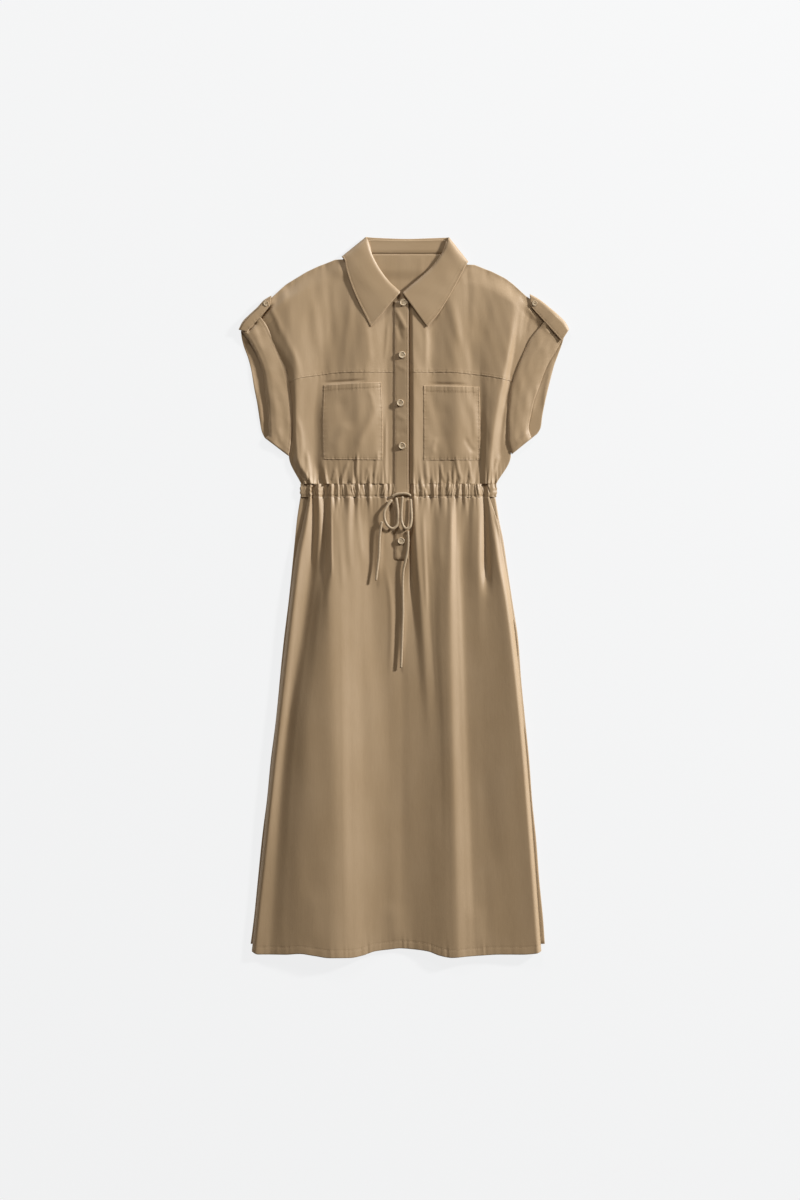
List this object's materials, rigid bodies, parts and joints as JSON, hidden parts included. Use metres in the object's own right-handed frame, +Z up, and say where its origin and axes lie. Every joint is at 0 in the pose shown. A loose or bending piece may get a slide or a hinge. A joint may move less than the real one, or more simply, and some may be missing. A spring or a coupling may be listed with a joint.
{
  "type": "shirt dress",
  "caption": "Short-sleeved shirt dress laid flat: shirt collar, button band, chest pockets, turned cuffs with tabs, drawstring waist and gathered midi skirt.",
  "frame": {"origin": "Centre of the dress's outline, at the level of the surface that it lies on.", "axes": "+Y from hem to collar along the centre front, +Z up out of the front of the dress, +X to the wearer's left."},
  "size_m": [0.5418, 1.1807, 0.021],
  "materials": {
    "cloth": "fine satin-faced weave with a soft sheen",
    "cord": "soft round self-fabric cord",
    "button": "smooth, slightly glossy"
  },
  "bodies": {
    "root": {"back_bodice": "cloth", "back_skirt": "cloth", "waist_casing": "cloth", "front_skirt": "cloth", "front_yoke_right": "cloth", "front_yoke_left": "cloth", "front_bodice_right": "cloth", "front_bodice_left": "cloth", "chest_pocket_right": "cloth", "chest_pocket_left": "cloth", "button_band": "cloth", "sleeve_cuff_right": "cloth", "sleeve_cuff_left": "cloth", "shoulder_tab_right": "cloth", "shoulder_tab_left": "cloth", "collar_stand": "cloth", "collar_fall": "cloth", "button_1": "button", "button_2": "button", "button_3": "button", "button_4": "button", "button_5": "button", "tab_button_right": "button", "tab_button_left": "button", "drawstring_band": "cord", "drawstring_loop_right": "cord", "drawstring_loop_left": "cord", "drawstring_tail_right": "cord", "drawstring_tail_left": "cord"}
  },
  "joints": []
}
